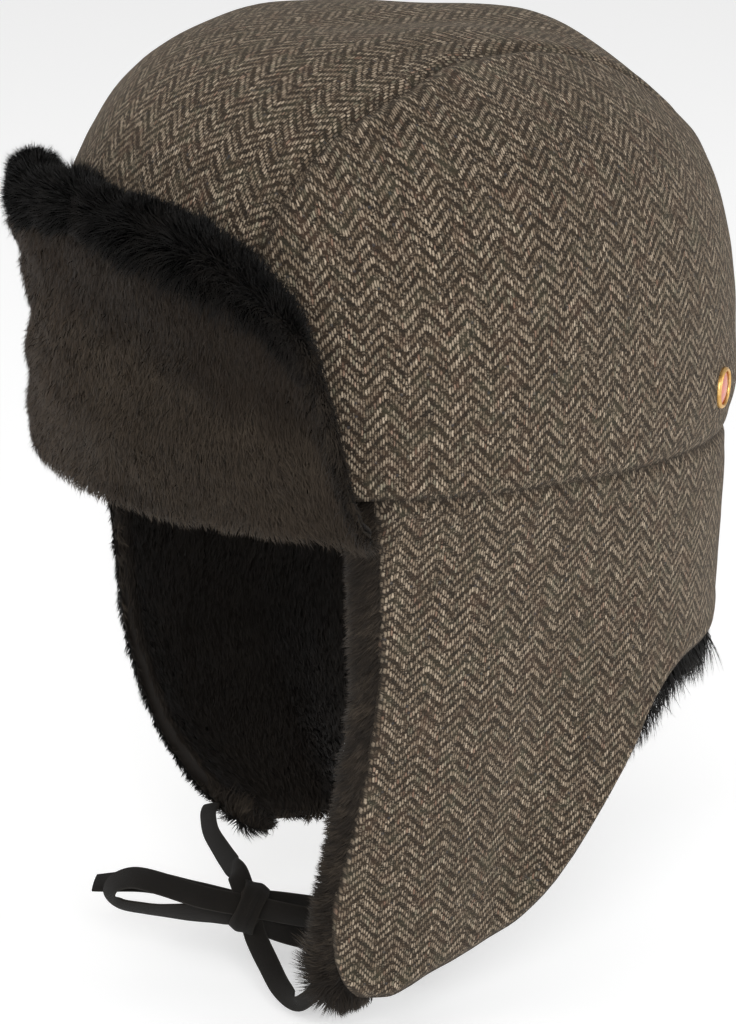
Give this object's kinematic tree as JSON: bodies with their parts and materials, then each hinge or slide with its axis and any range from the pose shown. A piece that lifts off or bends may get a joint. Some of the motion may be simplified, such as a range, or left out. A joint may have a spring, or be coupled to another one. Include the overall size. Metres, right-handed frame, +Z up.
{
  "type": "aviator hat",
  "caption": "Herringbone tweed aviator hat with fur lining, folded-up fur front flap and ear flaps tied under the chin with a ribbon bow.",
  "frame": {"origin": "middle of the head opening at brow height, where the hat sits on a head", "axes": "+Z up through the crown, -Y to the front of the hat, +X to the wearer's left"},
  "size_m": [0.193, 0.228, 0.303],
  "materials": {
    "tweed": "brown and grey wool herringbone, matt, slightly hairy",
    "lining_fur": "near-black short pile fur",
    "front_fur": "brown-black fur with a brushed grain and a fluffy upper edge",
    "ribbon": "matt dark woven tape",
    "gilt": "polished gilt rim",
    "enamel": "plain glossy brick-red enamel"
  },
  "bodies": {
    "root": {"crown_center_panel": "tweed", "crown_side_left": "tweed", "crown_side_right": "tweed", "crown_lining": "lining_fur", "ear_flap_left": "tweed", "ear_flap_right": "tweed", "flap_lining_left": "lining_fur", "flap_lining_right": "lining_fur", "front_flap": "front_fur", "tie_left": "ribbon", "tie_right": "ribbon", "bow_loop_left": "ribbon", "bow_loop_right": "ribbon", "bow_tail_left": "ribbon", "bow_tail_right": "ribbon", "bow_knot": "ribbon", "badge_rim": "gilt", "badge_face": "enamel"}
  },
  "joints": []
}
